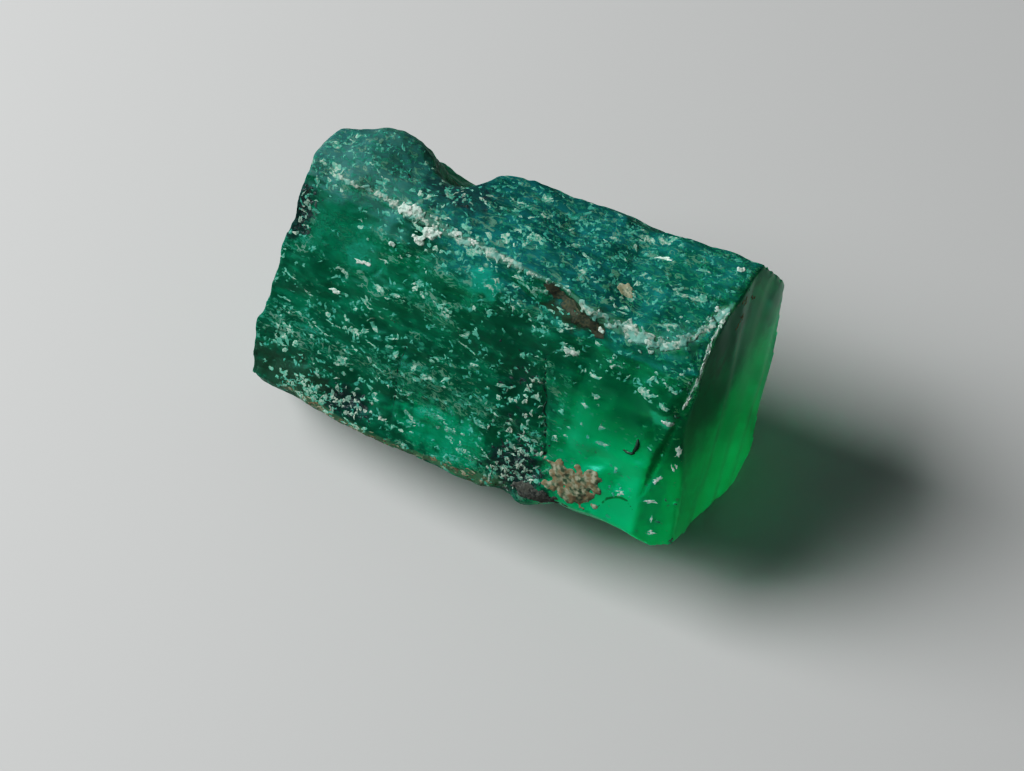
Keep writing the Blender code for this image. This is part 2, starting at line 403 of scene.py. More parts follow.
fleck_present = math_of(fleck_tree, "LESS_THAN", fleck_dice.outputs[0], fleck_in.outputs["Share"])
fleck_growth = ramp(fleck_tree, fleck_dice.outputs[1], 0.0, 1.0, 0.5, 1.2)
fleck_reach = times(fleck_tree, fleck_in.outputs["Size"], fleck_growth)
fleck_far = math_of(fleck_tree, "DIVIDE", fleck_cells.outputs["Distance"], fleck_reach)
fleck_blob = ramp(fleck_tree, fleck_far, 0.55, 1.0, 1.0, 0.0)
fleck_tree.links.new(times(fleck_tree, fleck_blob, fleck_present), fleck_out.inputs["Mask"])

# Curls: short bent strokes and little loops of torn flakes, kept where the share is high.
curl_tree, curl_in, curl_out = group_of(
    "curls",
    {"Place": "Vector", "Scale": "Float", "Share": "Float", "Width": "Float"}, {"Mask": "Float"},
)
CURL_STRETCH = (0.6, 1.0, 1.0)
CURL_SHIFT = (31.0, 17.0, 5.0)
CURL_FLOOR = 0.80, 0.40
CURL_EDGE = 0.05
curl_scale = curl_in.outputs["Scale"]
curl_place = vector_of(curl_tree, "MULTIPLY", curl_in.outputs["Place"], CURL_STRETCH)
curl_noise = noise_of(curl_tree, curl_place, curl_scale, detail=4.0, Distortion=0.9).outputs[0]
curl_far = math_of(curl_tree, "ABSOLUTE", math_of(curl_tree, "SUBTRACT", curl_noise, 0.5))
curl_far = math_of(curl_tree, "DIVIDE", curl_far, curl_in.outputs["Width"])
curl_line = ramp(curl_tree, curl_far, 0.5, 1.0, 1.0, 0.0)
curl_shifted = vector_of(curl_tree, "ADD", curl_place, CURL_SHIFT)
curl_patch = noise_of(curl_tree, curl_shifted, curl_scale, detail=1.0).outputs[0]
curl_floor = ramp(curl_tree, curl_in.outputs["Share"], 0.0, 1.0, *CURL_FLOOR)
curl_kept = math_of(curl_tree, "SUBTRACT", curl_patch, curl_floor)
curl_kept = ramp(curl_tree, curl_kept, 0.0, CURL_EDGE)
curl_tree.links.new(times(curl_tree, curl_line, curl_kept), curl_out.inputs["Mask"])

# The clear stone's green below: painted bright low down as a glow of light through it, and darker
# higher up as painted shade.
CLEAR_GLOW_GREEN = (0.0, 1.0, 0.51)
DEEP_GREEN = (0.0, 0.24, 0.15)
FLAWED_GREEN = (0.0, 0.42, 0.27)
UPPER_SHADE_GREEN = (0.0, 0.29, 0.18)
PALE_FLECK = (0.58, 0.80, 0.66)
TEAL_FLECK = (0.16, 0.66, 0.52)
BRUISE = (0.42, 0.60, 0.52)
# Bluish colours of the top's painted sheen, standing in for the sky's reflection:
SHEEN_TEAL_DARK = (0.01, 0.255, 0.28)
SHEEN_TEAL = (0.04, 0.38, 0.46)
PALE_HAZE = (0.28, 0.56, 0.50)
GREY_HAZE = (0.38, 0.49, 0.47)
SHADE_GREEN = (0.004, 0.14, 0.10)
BLUE_BLACK = (0.03, 0.07, 0.09)
NOTCH_BLUE = (0.06, 0.14, 0.18)
CRACK_GREEN = (0.0, 0.05, 0.03)
FRACTURE_SHADE_GREEN = (0.0, 0.12, 0.05)
STAIN_BROWN = (0.13, 0.11, 0.07)
OLIVE_RIND = (0.10, 0.16, 0.11)
LIGHT_RIND = (0.33, 0.41, 0.28)

# Stains and tones of the stone, and spots of painted glow and painted shade.
# (name, centre, half-axes, raggedness, colour, strength), the lengths in millimetres
STAINS_AND_PAINTED_LIGHT = (
    ("clean_patch", (-7.2, -1.2, 11.3), (2.2, 1.5, 2.2), 0.3, (0.0, 0.38, 0.26), 0.85),
    ("milky_patch", (-6.1, -1.7, 11.0), (1.0, 0.7, 1.0), 0.5, (0.08, 0.66, 0.52), 0.6),
    ("knot_shade", (-3.5, -0.9, 12.5), (1.5, 0.8, 0.9), 0.5, SHADE_GREEN, 0.7),
    # The knot's gap is painted shade: near black in the gap among the crumbs of the knot.
    ("knot_gap_shade", (-3.75, -0.42, 13.0), (0.9, 0.35, 0.35), 0.4, (0.005, 0.03, 0.025), 0.9),
    # lower_glow is painted light: a bright green glow low on the front, where light comes through
    # the stone.
    ("lower_glow", (-0.3, -5.2, 5.8), (3.0, 1.5, 1.6), 0.4, (0.0, 0.95, 0.58), 0.6),
    ("dark_bay", (1.3, -2.2, 11.0), (2.3, 1.3, 1.9), 0.5, SHADE_GREEN, 0.55),
    ("included_band", (2.3, -3.5, 9.0), (1.3, 1.6, 3.2), 0.5, SHADE_GREEN, 0.75),
    ("notch_shade", (-3.0, 1.4, 13.4), (2.1, 1.5, 1.4), 0.5, NOTCH_BLUE, 0.75),
    ("left_rim_shade", (-9.7, -1.3, 11.3), (1.0, 1.4, 1.9), 0.4, BLUE_BLACK, 0.9),
    ("lower_left_shade", (-5.2, -5.5, 5.1), (1.5, 1.0, 1.1), 0.5, BLUE_BLACK, 0.85),
    ("mica_shade", (3.2, -5.4, 5.8), (1.8, 1.1, 1.8), 0.5, BLUE_BLACK, 0.9),
    ("lower_left_rind", (-8.6, -5.5, 5.0), (3.2, 1.3, 1.7), 0.4, OLIVE_RIND, 0.8),
    ("ridge_stain", (3.8, -1.2, 12.75), (2.0, 0.7, 0.85), 0.5, STAIN_BROWN, 0.95),
    ("teal_bruise", (-0.4, -1.4, 12.4), (0.9, 0.8, 1.0), 0.5, (0.04, 0.85, 0.66), 0.75),
    ("end_top_shade", (9.7, 1.0, 12.7), (1.0, 3.0, 2.1), 0.4, SHADE_GREEN, 0.85),
    ("crumb_haze", (8.6, -2.85, 10.6), (0.7, 0.6, 0.6), 0.4, (0.05, 0.85, 0.62), 0.6),
    ("bevel_haze", (9.3, -4.7, 7.3), (0.6, 1.2, 2.3), 0.4, (0.02, 0.60, 0.45), 0.5),
    ("corner_haze", (8.2, -0.5, 13.4), (1.2, 1.0, 0.7), 0.5, PALE_HAZE, 0.5),
)

END_FACING = 0.5, 0.8  # how far a normal turns on an end face
TOP_FACING = 0.4, 0.75
# The next heights are where the painted sheen of the top face sets in.
SHEEN_HEIGHT = 11.6, 12.8  # where the haze of the top face sets in
WANDER = 5.0  # how far the zones' edges stray
GLOW_TILT = 0.3  # the glow stands higher toward the left
GLOW_HEIGHT = 12.8, 10.2
FLECKED, FAINTLY_FLECKED, HAZY_FLECKED = 0.75, 0.28, 0.6

emerald, tree, shader, surface = new_material("emerald")
place = in_mm(tree)
streaks = add(tree, "ShaderNodeGroup", {"node_tree": streak_tree}, Place=place).outputs
apart = add(tree, "ShaderNodeSeparateXYZ", Vector=place).outputs
geometry = tree.nodes.new("ShaderNodeNewGeometry")
facing = add(tree, "ShaderNodeSeparateXYZ", Vector=geometry.outputs["Normal"]).outputs

# Zones: the clear stone at the right, with a painted glow low on the front, and a painted sheen on
# the top where it faces up.
wander = times(tree, math_of(tree, "SUBTRACT", streaks["Broad"], 0.5), WANDER)
along = ramp(tree, math_of(tree, "ADD", apart["X"], wander), CLEAR_FROM - 0.6, CLEAR_TO)
height = math_of(tree, "ADD", apart["Z"], times(tree, wander, 0.5))
under = ramp(tree, height, *WINDOW_TOP, 1.0, 0.15)
end_facing = ramp(tree, facing["X"], *END_FACING)
clearness = times(tree, along, math_of(tree, "MAXIMUM", under, end_facing))
# Painted light: low on the front and the end the clear stone is painted glowing, and higher up it
# is painted in shade.
low = ramp(tree, math_of(tree, "MULTIPLY_ADD", apart["X"], GLOW_TILT, height), *GLOW_HEIGHT)
# Painted sheen: where the top faces up, its colour turns to a bluish haze, the sky's reflection
# painted in. The same mask also makes it rougher and more flecked.
top_sheen = times(tree, ramp(tree, facing["Z"], *TOP_FACING), ramp(tree, apart["Z"], *SHEEN_HEIGHT))

flawed = mix(tree, ramp(tree, streaks["Fine"], 0.42, 0.66), DEEP_GREEN, FLAWED_GREEN)
clear_glow = mix(tree, low, UPPER_SHADE_GREEN, CLEAR_GLOW_GREEN)
green = mix(tree, clearness, flawed, clear_glow)
# The painted sheen's colour, mottled with pale specks, fewer toward the right, and greyer toward
# the left end.
sheen_colour = mix(tree, ramp(tree, streaks["Fine"], 0.40, 0.62), SHEEN_TEAL_DARK, SHEEN_TEAL)
milk_left = ramp(tree, apart["X"], 0.0, 5.0, 1.0, 0.3)
milky = times(tree, ramp(tree, streaks["Speckle"], 0.56, 0.68), milk_left)
sheen_colour = mix(tree, milky, sheen_colour, PALE_HAZE)
greyed = times(tree, ramp(tree, apart["X"], -2.5, -6.0), streaks["Broad"])
sheen_colour = mix(tree, greyed, sheen_colour, GREY_HAZE)
green = mix(tree, top_sheen, green, sheen_colour)

patchy = ramp(tree, streaks["Broad"], 0.35, 0.62)
faint = ramp(tree, end_facing, 0.0, 1.0, FAINTLY_FLECKED, 0.0)
fleck_share = times(tree, patchy, ramp(tree, clearness, 0.0, 0.9, FLECKED, faint))
fleck_share = math_of(tree, "MAXIMUM", fleck_share, times(tree, top_sheen, HAZY_FLECKED))

# (group, its own settings, colour, strength)
FLECKS = (
    (fleck_tree, {"Scale": 6.5, "Size": 0.42}, TEAL_FLECK, 0.7),
    (curl_tree, {"Scale": 4.2, "Width": 0.06}, TEAL_FLECK, 0.8),
    (curl_tree, {"Scale": 2.6, "Width": 0.045}, PALE_FLECK, 0.85),
)
rough_flecks = 0.0
for kind, settings, colour, strength in FLECKS:
    found = add(
        tree, "ShaderNodeGroup", {"node_tree": kind}, Place=place, Share=fleck_share, **settings
    ).outputs[0]
    green = mix(tree, times(tree, found, strength), green, colour)
    rough_flecks = math_of(tree, "MAXIMUM", rough_flecks, found)

spot_noise = noise_of(tree, place, scale=2.2, detail=4.0).outputs[0]
for name, centre, size, ragged, colour, strength in STAINS_AND_PAINTED_LIGHT:
    spot = add(
        tree, "ShaderNodeGroup", {"node_tree": spot_tree, "label": name},
        Place=place, Noise=spot_noise, Centre=centre, Size=size, Ragged=ragged,
    )
    green = mix(tree, times(tree, spot.outputs[0], strength), green, colour)

# (mark on the mesh, where it fades in half-widths, raggedness, colour, strength)
WORN_AND_SHADED_LINES = (
    ("bruise", (0.6, 1.5), 3.0, BRUISE, 0.8),
    ("edge_line", (0.5, 1.4), 2.0, PALE_FLECK, 0.7),
    ("rind", (0.5, 1.5), 3.0, LIGHT_RIND, 0.85),
    ("crack", (0.5, 1.3), 1.5, CRACK_GREEN, 0.85),
    # The fracture line is painted shade: dark green down the fracture beside the right break as
    # its shadow, and along the small arc below it.
    ("fracture", (0.5, 1.3), 0.8, FRACTURE_SHADE_GREEN, 0.8),
)
uneven = math_of(tree, "SUBTRACT", streaks["Speckle"], 0.5)
worn = {}
for name, fade, ragged, colour, strength in WORN_AND_SHADED_LINES:
    far = add(tree, "ShaderNodeAttribute", {"attribute_name": name}).outputs["Fac"]
    far = math_of(tree, "MULTIPLY_ADD", uneven, ragged, far)
    worn[name] = ramp(tree, far, *fade, 1.0, 0.0)
    green = mix(tree, times(tree, worn[name], strength), green, colour)
tree.links.new(green, shader.inputs["Base Color"])

# The clear stone is calm: no bump and no dull speckle in it.
calm = ramp(tree, clearness, 0.0, 0.9, 1.0, 0.0)
bump = add(
    tree, "ShaderNodeBump", Strength=0.6, Distance=0.05 * MM,
    Height=times(tree, calm, streaks["Fine"]),
)
bump = add(
    tree, "ShaderNodeBump", Strength=0.5, Distance=0.04 * MM,
    Height=times(tree, calm, rough_flecks), Normal=bump.outputs[0],
)
tree.links.new(bump.outputs[0], shader.inputs["Normal"])

FLAWED_ROUGH, CLEAR_ROUGH, SPECKLE_ROUGH = 0.36, 0.29, 0.25
HAZE_ROUGH, FLECK_ROUGH, BRUISE_ROUGH = 0.22, 0.3, 0.2
dull = times(tree, ramp(tree, streaks["Speckle"], 0.35, 0.7), SPECKLE_ROUGH)
roughness = ramp(tree, clearness, 0.0, 1.0, FLAWED_ROUGH, CLEAR_ROUGH)
roughness = math_of(tree, "MULTIPLY_ADD", dull, calm, roughness)
for mask, rougher in (
    (top_sheen, HAZE_ROUGH), (rough_flecks, FLECK_ROUGH), (worn["bruise"], BRUISE_ROUGH)
):
    roughness = math_of(tree, "ADD", roughness, times(tree, mask, rougher))
tree.links.new(roughness, shader.inputs["Roughness"])
shader.inputs["IOR"].default_value = 1.58
shader.inputs["Transmission Weight"].default_value = 0.78
shader.inputs["Specular IOR Level"].default_value = 0.25
shader.inputs["Specular Tint"].default_value = (0.15, 0.6, 0.5, 1.0)
depth = add(tree, "ShaderNodeVolumeAbsorption", Color=(0.0, 0.83, 0.50, 1.0), Density=88.0)
tree.links.new(depth.outputs[0], surface.inputs["Volume"])

crystal.data.materials.clear()
crystal.data.materials.append(emerald)
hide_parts("emerald_crystal")
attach(crystal, "root")

# -----------------------------------------------------------------------------
# Pale and green grains: torn flakes of mica and talc from the rock, grown into the skin of the
# crystal. They lie flat in the faces, mostly along the prism, thick on the top and the left and
# few in the clear stone, and some are strung in veins. Each is a thin ragged plate, partly sunk.
# -----------------------------------------------------------------------------

chance = np.random.default_rng(7)
face_centres = values_of(crystal.data.polygons, "center")
face_normals = values_of(crystal.data.polygons, "normal")
face_areas = values_of(crystal.data.polygons, "area", 1)[:, 0]


def chip_shape(sides, rings):
    """The corners and triangles of one chip of unit size, before it is torn and bent."""
    bpy.ops.object.select_all(action="DESELECT")
    bpy.ops.mesh.primitive_uv_sphere_add(segments=sides, ring_count=rings, radius=0.5)
    shape = bpy.context.object
    shape.data.calc_loop_triangles()
    corners = np.array([v.co[:] for v in shape.data.vertices])
    faces = np.array([t.vertices[:] for t in shape.data.loop_triangles])
    bpy.data.objects.remove(shape)
    return corners, faces


def chips(name, shape, spots, normals, along, sizes, material, jag, sunk=0.25, bend=0.0):
    """Joins one chip per spot into a piece: each hugs the skin there, its long side along.
    jag is how torn it is, sunk the share of its thickness under the skin, bend its curve."""
    corners, faces = shape
    normals = normals / np.linalg.norm(normals, axis=1)[:, None]
    along = along - (along * normals).sum(1)[:, None] * normals
    along /= np.linalg.norm(along, axis=1)[:, None]
    across = np.cross(normals, along)
    count = len(spots)
    torn = corners[None] * (1.0 + jag * chance.uniform(-1, 1, (count, len(corners), 1)))
    torn[:, :, 1] += chance.uniform(-bend, bend, (count, 1)) * (torn[:, :, 0] ** 2 - 0.1)
    torn = torn * sizes[:, None, :]
    flat = spots[:, None, :] + torn[:, :, 0:1] * along[:, None, :]
    flat = flat + torn[:, :, 1:2] * across[:, None, :]
    feet, outward = nearest_on(stone, flat.reshape(-1, 3))
    height = (torn[:, :, 2] - sunk * sizes[:, None, 2]).reshape(-1, 1)
    indices = faces[None] + (np.arange(count) * len(corners))[:, None, None]
    mesh = bpy.data.meshes.new(name)
    mesh.from_pydata((feet + height * outward).tolist(), [], indices.reshape(-1, 3).tolist())
    mesh.materials.append(material)
    piece = bpy.data.objects.new(name, mesh)
    bpy.context.scene.collection.objects.link(piece)
    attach(piece, "root")
    return piece


def scatter(count, density):
    """Places on the skin, picked by area and density."""
    share = face_areas * np.clip(density, 0.0, None)
    picked = chance.choice(len(share), count, p=share / share.sum())
    return face_centres[picked].astype(float), face_normals[picked].astype(float)


def lie(count, spread):
    """Long directions near the prism's axis, turned by a random angle."""
    turn = chance.normal(0.0, spread, count)
    lift = chance.normal(0.0, spread, count)
    return np.stack([np.cos(turn), np.sin(turn), lift], axis=1)


def chip_sizes(count, length, width, thick):
    """Sizes in metres, most of them near the small end of each range in millimetres."""
    skew = chance.beta(1.3, 3.2, (count, 3))
    ranges = np.array([length, width, thick])
    return (ranges[:, 0] + skew * (ranges[:, 1] - ranges[:, 0])) * MM


def grains(
    name, shape, places, material, length, width, thick, turn=0.0, headings=None, upright=False,
    **how,
):
    """A piece of many chips at these places, with given headings or turned by chance."""
    spots, normals = places
    sizes = chip_sizes(len(spots), length, width, thick)
    if headings is None:
        headings = lie(len(spots), turn)
    if upright:
        headings = headings[:, ::-1]
    return chips(name, shape, spots, normals, headings, sizes, material, **how)


def grain_material(name, light, dark, tint, rough, grain=11.0):
    """An opaque mottle of three colours, in a fine pattern and a broad one."""
    material, tree, shader, _ = new_material(name)
    place = in_mm(tree)
    broad = noise_of(tree, place, scale=3.0, detail=2.0).outputs[0]
    fine = noise_of(tree, place, scale=grain, detail=4.0).outputs[0]
    colour = mix(tree, ramp(tree, fine, 0.35, 0.65), dark, light)
    colour = mix(tree, ramp(tree, broad, 0.42, 0.62), colour, tint)
    tree.links.new(colour, shader.inputs["Base Color"])
    roughness = ramp(tree, fine, 0.3, 0.7, rough - 0.15, rough + 0.15)
    tree.links.new(roughness, shader.inputs["Roughness"])
    bump = add(tree, "ShaderNodeBump", Strength=0.6, Distance=0.03 * MM, Height=fine).outputs[0]
    tree.links.new(bump, shader.inputs["Normal"])
    return material


CLUMP_ALONG, CLUMP_ACROSS = 0.32 * MM, 0.14 * MM


def clustered(seeds, most, density):
    """Clumps and short chains of places on the skin, strung out along the prism."""
    starts, _ = scatter(seeds, density)
    members = np.repeat(starts, chance.integers(1, most + 1, seeds), axis=0)
    members[:, 0] += chance.normal(0.0, CLUMP_ALONG, len(members))
    members[:, 1:] += chance.normal(0.0, CLUMP_ACROSS, (len(members), 2))
    return nearest_on(stone, members)


VEIN_HEADING = (1.0, -0.16, -0.30)
VEIN_STRAY = 0.22


def veins(count, steps, stride, density):
    """Places along short wandering lines that run with the prism and downwards, with headings."""
    at, _ = scatter(count, density)
    heading = np.array(VEIN_HEADING) + chance.normal(0.0, VEIN_STRAY, (count, 3))
    ends = chance.integers(3, steps + 1, count)
    places, headings = [], []
    for step in range(steps):
        on_way = ends > step
        places.append(at[on_way])
        headings.append(heading[on_way])
        at = at + heading * stride * chance.uniform(0.3, 1.5, (count, 1))
        heading = heading + chance.normal(0.0, VEIN_STRAY, (count, 3))
    return nearest_on(stone, np.concatenate(places)), np.concatenate(headings)


def heap(centre, size, count):
    """Places on the skin around a centre, in a heap with these half-axes in millimetres."""
    offsets = chance.normal(0.0, 0.5, (count, 3)) * np.array(size)
    return nearest_on(stone, (np.array(centre) + offsets) * MM)


def heaps(patches):
    """The places of several heaps, given as (centre, half-axes, count)."""
    found = [heap(*patch) for patch in patches]
    return np.concatenate([pair[0] for pair in found]), np.concatenate([pair[1] for pair in found])


pale_mica = grain_material(
    "pale_mica", (0.36, 0.47, 0.38), (0.06, 0.24, 0.16), (0.09, 0.31, 0.22), 0.7
)
green_mica = grain_material(
    "green_mica", (0.13, 0.36, 0.27), (0.02, 0.17, 0.11), (0.05, 0.27, 0.20), 0.7
)
thin_flake = chip_shape(sides=8, rings=3)
torn_plate = chip_shape(sides=10, rings=4)

# How thick the grains lie, in clouds: few in the clear stone, under it and on the right end.
GRAINED_TOP = 0.6, 0.85
GRAINS_END = 4.0, 5.5
UNDER_FROM = 2.5, 4.0
CLEAN_X, CLEAN_Z, CLEAN_SPREAD = -7.2, 11.3, 3.0
RIGHT_END = 8.5
x, y, z = face_centres[:, 0] / MM, face_centres[:, 1] / MM, face_centres[:, 2] / MM
nx, nz = face_normals[:, 0], face_normals[:, 2]
top_share = smooth_step(*GRAINED_TOP, nz)
right_end = smooth_step(*END_FACING, np.abs(nx)) * (x > RIGHT_END)
in_window = 1.0 - 0.65 * smooth_step(*WINDOW_TOP, z)
clear_zone = smooth_step(*GRAINS_END, x) * in_window * (1.0 - top_share)
from_clean = (x - CLEAN_X) ** 2 + (z - CLEAN_Z) ** 2
clean_patch = np.exp(-from_clean / CLEAN_SPREAD) * (nz < 0.8)
cloud = 0.5 + 0.5 * np.sin(1.3 * x + 2.1 * np.sin(0.9 * z + y)) * np.sin(1.9 * z - 0.7 * x)
density = (1.0 + 0.6 * cloud) * (1.0 - 0.9 * clear_zone) * (1.0 - 0.98 * right_end) * (z > 0.3)
under_clear = smooth_step(*UNDER_FROM, x) * (nz < 0.1)
density = density * (1.0 - 0.85 * clean_patch) * (1.0 - 0.95 * under_clear)

# (centre, half-axes, flakes) in millimetres
PALE_PATCHES = (
    ((4.7, 3.1, 13.4), (0.35, 0.3, 0.1), 12), ((0.8, 0.8, 13.8), (0.35, 0.25, 0.1), 12),
    ((-5.7, -3.75, 8.0), (0.6, 0.25, 0.3), 12), ((-1.7, -2.4, 10.6), (0.45, 0.2, 0.3), 10),
    ((5.9, -2.05, 11.7), (0.35, 0.15, 0.3), 6), ((4.0, -2.1, 11.3), (0.4, 0.2, 0.25), 8),
    ((-3.1, -1.9, 10.9), (0.5, 0.2, 0.3), 10), ((-9.0, -4.5, 6.5), (0.5, 0.6, 1.2), 40),
    ((-7.0, -5.6, 4.8), (1.6, 0.4, 0.8), 50), ((7.6, -2.4, 11.35), (0.5, 0.2, 0.2), 12),
    ((5.6, -2.9, 10.2), (0.2, 0.1, 0.1), 3), ((4.55, -4.2, 7.8), (0.15, 0.1, 0.1), 2),
    ((7.85, -4.9, 7.1), (0.15, 0.1, 0.1), 3),
)
PALE_CLUMPS, BROAD_CLUMPS, GREEN_CLUMPS = (520, 2), (120, 2), (1300, 4)  # clumps, most in one
VEINS = 110, 9, 0.15 * MM  # veins, most steps, stride
VEINS_END = 3.0

around, patched = clustered(*PALE_CLUMPS, density), heaps(PALE_PATCHES)
grains(
    "pale_grains", thin_flake, tuple(np.concatenate(pair) for pair in zip(around, patched)),
    pale_mica, length=(0.18, 0.72), width=(0.12, 0.42), thick=(0.03, 0.08),
    turn=0.5, jag=0.45, bend=2.2,
)
grains(
    "broad_flakes", torn_plate, clustered(*BROAD_CLUMPS, density),
    pale_mica, length=(0.40, 1.1), width=(0.18, 0.50), thick=(0.04, 0.09),
    turn=0.45, jag=0.45, bend=2.2,
)
grains(
    "green_flakes", thin_flake, clustered(*GREEN_CLUMPS, density * (0.6 + 0.8 * top_share)),
    green_mica, length=(0.10, 0.52), width=(0.07, 0.28), thick=(0.02, 0.05),
    turn=0.8, jag=0.45, bend=2.2,
)
places, headings = veins(*VEINS, density * (1.0 - 0.6 * top_share) * (x < VEINS_END))
grains(
    "pale_veins", thin_flake, places,
    pale_mica, length=(0.14, 0.42), width=(0.06, 0.18), thick=(0.03, 0.06),
    headings=headings, jag=0.4, bend=1.5,
)

# -----------------------------------------------------------------------------
# Bruised edges: where the top face meets the front and the right break, the edge is worn to a
# low crust of chalky crumbs, broad near the right corner and thin over the left. The largest
# crumbs stand out of it, and a thin line of it runs down the break. All is grown to the stone.
# -----------------------------------------------------------------------------


def along_line(line, count, spread):
    """Places strung along a laid line, more where it is wide, and spread over its width."""
    widths = line[:, 3]
    runs = np.linalg.norm(np.diff(line[:, :3], axis=0), axis=1) * (widths[:-1] + widths[1:])
    reach = np.concatenate([[0.0], np.cumsum(runs)])
    at = chance.uniform(0.0, reach[-1], count)
    strung = np.stack([np.interp(at, reach, line[:, axis]) for axis in range(3)], axis=1)
    return strung + chance.normal(0.0, spread, (count, 3)) * np.interp(at, reach, widths)[:, None]


def fuse(piece, grid, rounds):
    """Grows a heap of chips together into one lumpy skin."""
    voxel_skin(piece, grid * MM)
    even_out(piece, rounds)
    piece.data.shade_smooth()


chalk = grain_material(
    "chalky_crust", (0.38, 0.43, 0.36), (0.08, 0.20, 0.15), (0.14, 0.32, 0.26), 0.75
)
bright_chalk = grain_material(
    "bright_chalk", (0.66, 0.69, 0.62), (0.20, 0.32, 0.25), (0.36, 0.50, 0.42), 0.65
)

RIDGE_CHIPS, CORNER_CHIPS, END_CHIPS = 330, 80, 110
CRUST_SPREAD = 0.65
strung = [
    along_line(line, count, CRUST_SPREAD)
    for line, count in ((ridge, RIDGE_CHIPS), (corner_rim, CORNER_CHIPS))
]
ridge_crust = grains(
    "ridge_crust", torn_plate, nearest_on(stone, np.concatenate(strung)),
    chalk, length=(0.14, 0.50), width=(0.10, 0.38), thick=(0.08, 0.24),
    turn=0.6, jag=0.35, sunk=0.2,
)
fuse(ridge_crust, grid=0.045, rounds=2)

DOWN_THE_END = (0.1, -0.75, -0.65)
places = nearest_on(stone, along_line(end_rim, END_CHIPS, spread=0.3))
headings = np.array(DOWN_THE_END) + chance.normal(0.0, 0.15, (END_CHIPS, 3))
grains(
    "end_line", thin_flake, places,
    bright_chalk, length=(0.16, 0.46), width=(0.05, 0.14), thick=(0.05, 0.10),
    headings=headings, jag=0.4, sunk=0.2, bend=0.8,
)

# (place, length, width, height) in millimetres
LARGE_CRUMBS = (
    ((-4.85, -0.12, 13.25), 1.0, 0.6, 0.34), ((-4.45, -0.15, 13.3), 0.7, 0.5, 0.34),
    ((-3.4, -0.53, 12.95), 0.8, 0.66, 0.40), ((-3.15, -0.48, 12.95), 0.5, 0.4, 0.3),
    ((-3.9, -0.85, 12.55), 0.66, 0.55, 0.34), ((-4.3, -0.05, 13.4), 0.6, 0.4, 0.26),
    ((-4.9, -1.25, 12.0), 0.45, 0.36, 0.2),
    ((-2.3, -0.3, 13.35), 0.5, 0.3, 0.16), ((-1.5, -0.3, 13.35), 0.6, 0.3, 0.14),
    ((-6.0, -1.88, 10.7), 0.8, 0.34, 0.12), ((-6.9, -2.83, 9.05), 0.75, 0.3, 0.1),
    ((4.95, -1.32, 12.65), 0.34, 0.3, 0.2), ((4.0, -2.1, 11.4), 0.7, 0.36, 0.14),
    ((9.0, 1.3, 13.5), 0.6, 0.34, 0.18), ((8.95, 0.7, 13.5), 0.34, 0.26, 0.16),
    ((8.87, -2.85, 10.6), 0.64, 0.48, 0.14), ((8.95, 3.4, 13.7), 0.4, 0.34, 0.12),
    ((6.0, -1.0, 13.15), 0.6, 0.36, 0.16), ((7.0, -1.1, 13.05), 0.5, 0.42, 0.2),
    ((7.7, -1.0, 13.1), 0.5, 0.4, 0.16),
)
BITS = 7  # chips to a crumb
centres = np.repeat([crumb[0] for crumb in LARGE_CRUMBS], BITS, axis=0) * MM
extents = np.repeat([crumb[1:] for crumb in LARGE_CRUMBS], BITS, axis=0) * MM
aside = chance.uniform(-0.3, 0.3, (len(centres), 3)) * extents
spots, directions = nearest_on(stone, centres + aside)
sizes = extents * chance.uniform(0.3, 0.7, (len(centres), 3))
sizes[:, 2] = extents[:, 2] * chance.uniform(0.6, 1.0, len(centres))
large_crumbs = chips(
    "large_crumbs", torn_plate, spots, directions, lie(len(spots), 0.5), sizes,
    bright_chalk, jag=0.4, sunk=0.15, bend=1.5,
)
fuse(large_crumbs, grid=0.035, rounds=1)

# -----------------------------------------------------------------------------
# White flakes: clumps of torn white mica in a row down the bevel beside the right break, and one
# long flake of it on the top. Each clump is a few thin plates, partly sunk in the stone.
# -----------------------------------------------------------------------------

# Painted light: this white is set lighter than the other pale grains, so that the flakes in the
# shade of the bevel still read bright.
lit_white_mica = grain_material(
    "lit_white_mica", (0.84, 0.90, 0.82), (0.40, 0.60, 0.48), (0.60, 0.76, 0.64), 0.6
)

# (place, heading, length, width, plates), the lengths in millimetres
ROW_FLAKES = (
    ((9.58, -3.2, 9.4), (0.1, -0.5, -0.85), 0.7, 0.32, 7),
    ((9.68, -3.6, 8.8), (0.1, -0.5, -0.85), 0.6, 0.16, 4),
    ((9.16, -4.18, 8.2), (0.7, 0.35, 0.6), 0.6, 0.30, 7),
    ((9.22, -4.73, 7.25), (1.0, 0.1, 0.0), 0.62, 0.18, 5),
    ((9.42, -5.05, 6.5), (0.1, -0.5, -0.85), 0.4, 0.12, 3),
    ((9.61, -5.35, 5.85), (1.0, 0.1, 0.1), 0.5, 0.24, 4),
    ((5.85, 2.57, 13.5), (0.95, 0.3, 0.0), 1.1, 0.16, 6),
)
PLATE_THICK = 0.06 * MM
flakes_here = [flake[4] for flake in ROW_FLAKES]
centres = np.repeat([flake[0] for flake in ROW_FLAKES], flakes_here, axis=0) * MM
headings = np.repeat([flake[1] for flake in ROW_FLAKES], flakes_here, axis=0)
extents = np.repeat([flake[2:4] for flake in ROW_FLAKES], flakes_here, axis=0) * MM
shift = chance.uniform(-0.32, 0.32, (len(centres), 1)) * headings * extents[:, :1]
astray = chance.normal(0.0, 0.2, (len(centres), 3)) * extents[:, 1:]
spots, directions = nearest_on(stone, centres + shift + astray)
flat_sizes = extents * chance.uniform(0.35, 0.75, extents.shape)
sizes = np.column_stack([flat_sizes, np.full(len(centres), PLATE_THICK)])
headings = headings + chance.normal(0.0, 0.25, headings.shape)
chips(
    "bevel_flakes", torn_plate, spots, directions, headings, sizes,
    lit_white_mica, jag=0.5, sunk=0.3, bend=1.5,
)

